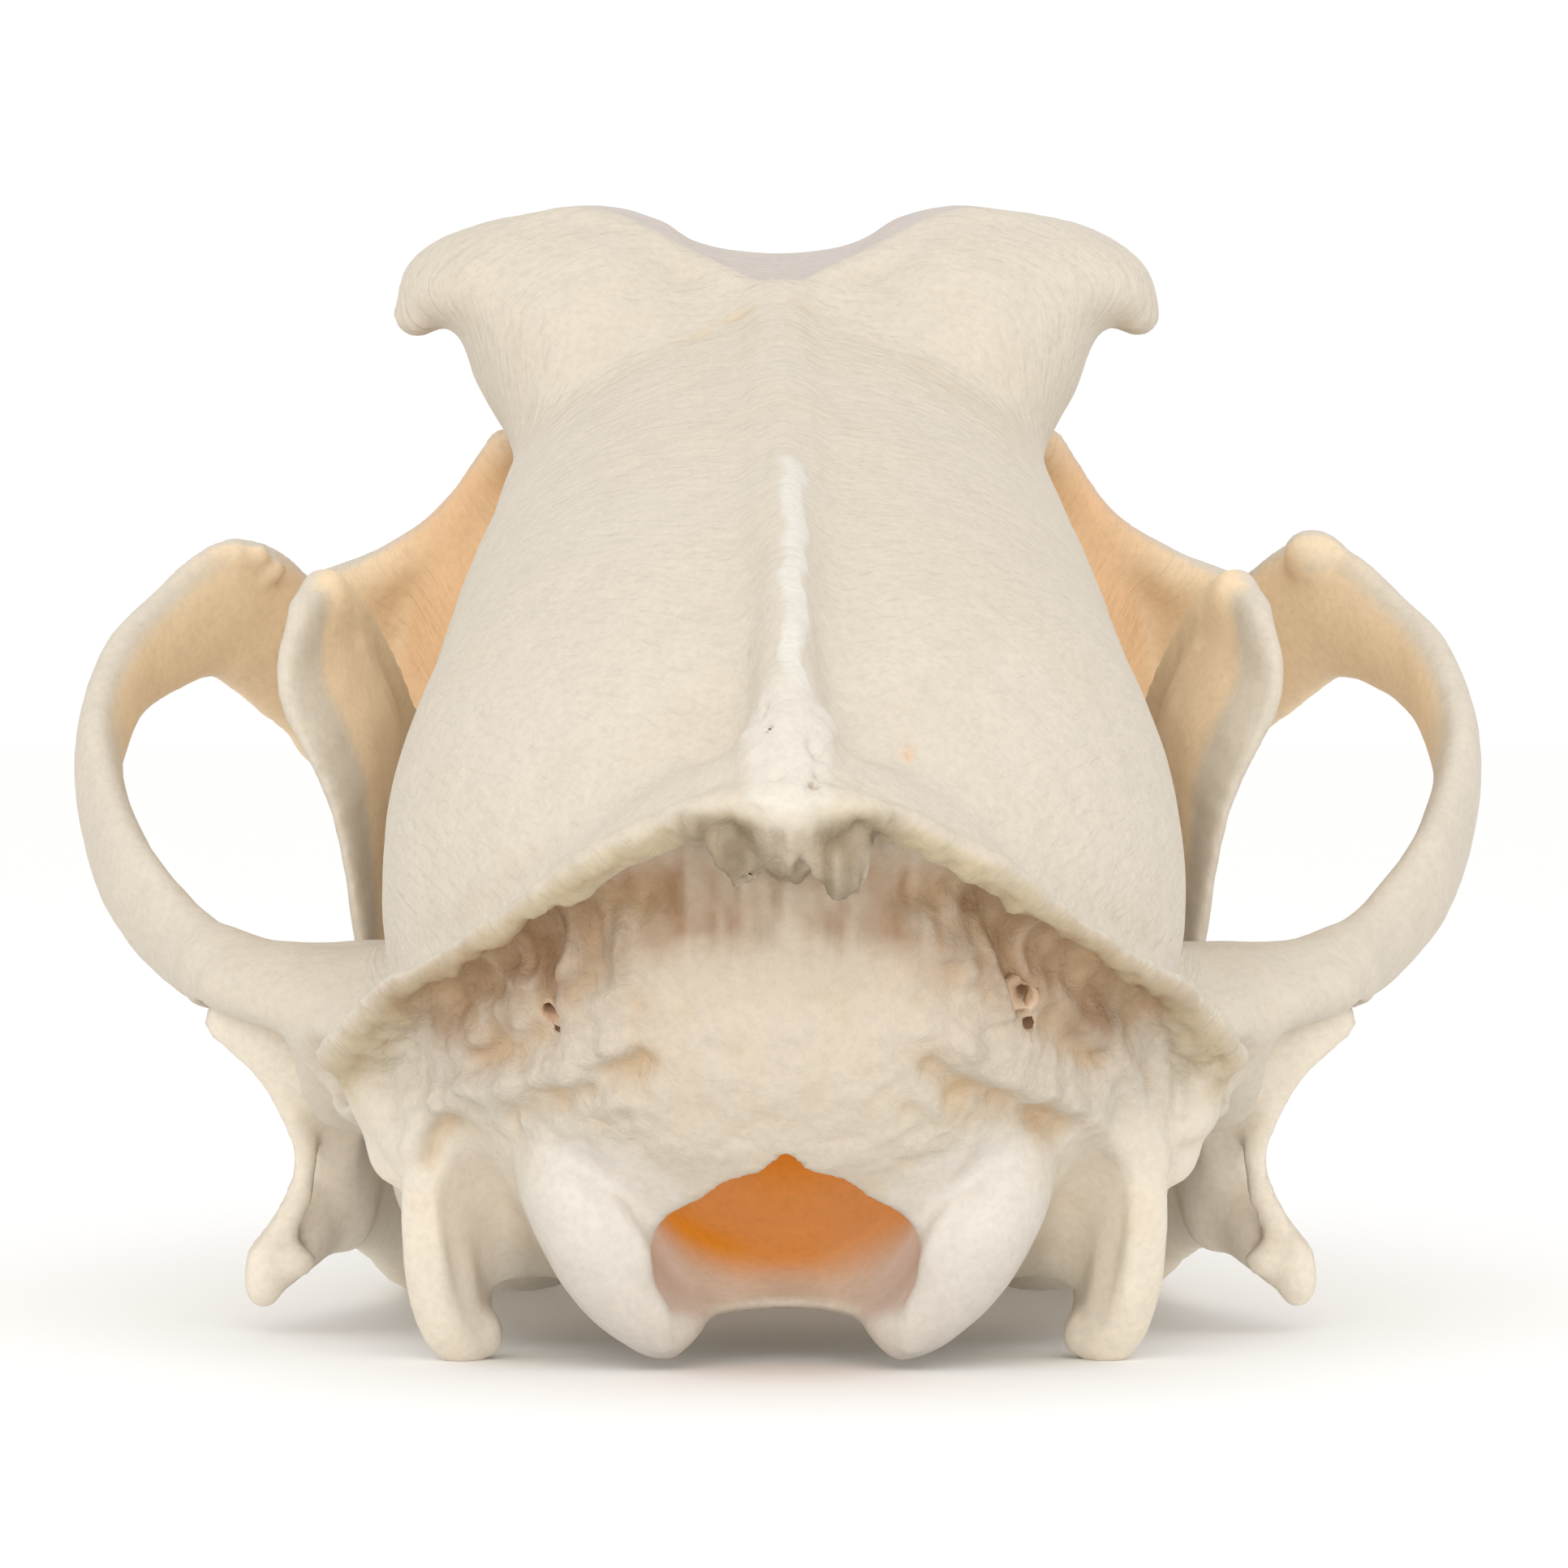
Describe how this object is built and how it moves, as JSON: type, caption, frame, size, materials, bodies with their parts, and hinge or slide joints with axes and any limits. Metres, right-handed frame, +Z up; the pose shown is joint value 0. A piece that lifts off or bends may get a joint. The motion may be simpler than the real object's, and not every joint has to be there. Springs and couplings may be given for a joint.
{
  "type": "dog skull",
  "caption": "Life-size skull of a large, broad-headed dog with its lower jaw closed in place, standing nose-up on its jaw and the processes behind the ears.",
  "frame": {"origin": "on the floor under the middle of the skull's bounding box, at the level of the feet it rests on", "axes": "+X to the skull's own right, +Y towards the snout along the skull's length, +Z up"},
  "size_m": [0.1178, 0.2139, 0.0929],
  "materials": {
    "bone": "dry cleaned bone, ivory, matt with a faint sheen",
    "tooth": "tooth enamel, pale ivory, glossy"
  },
  "bodies": {
    "root": {"braincase_left": "bone", "braincase_right": "bone", "cranial_base": "bone", "occiput": "bone", "frontal": "bone", "muzzle": "bone", "zygomatic_arch_left": "bone", "zygomatic_arch_right": "bone", "mandible_left": "bone", "mandible_right": "bone"}
  },
  "joints": []
}
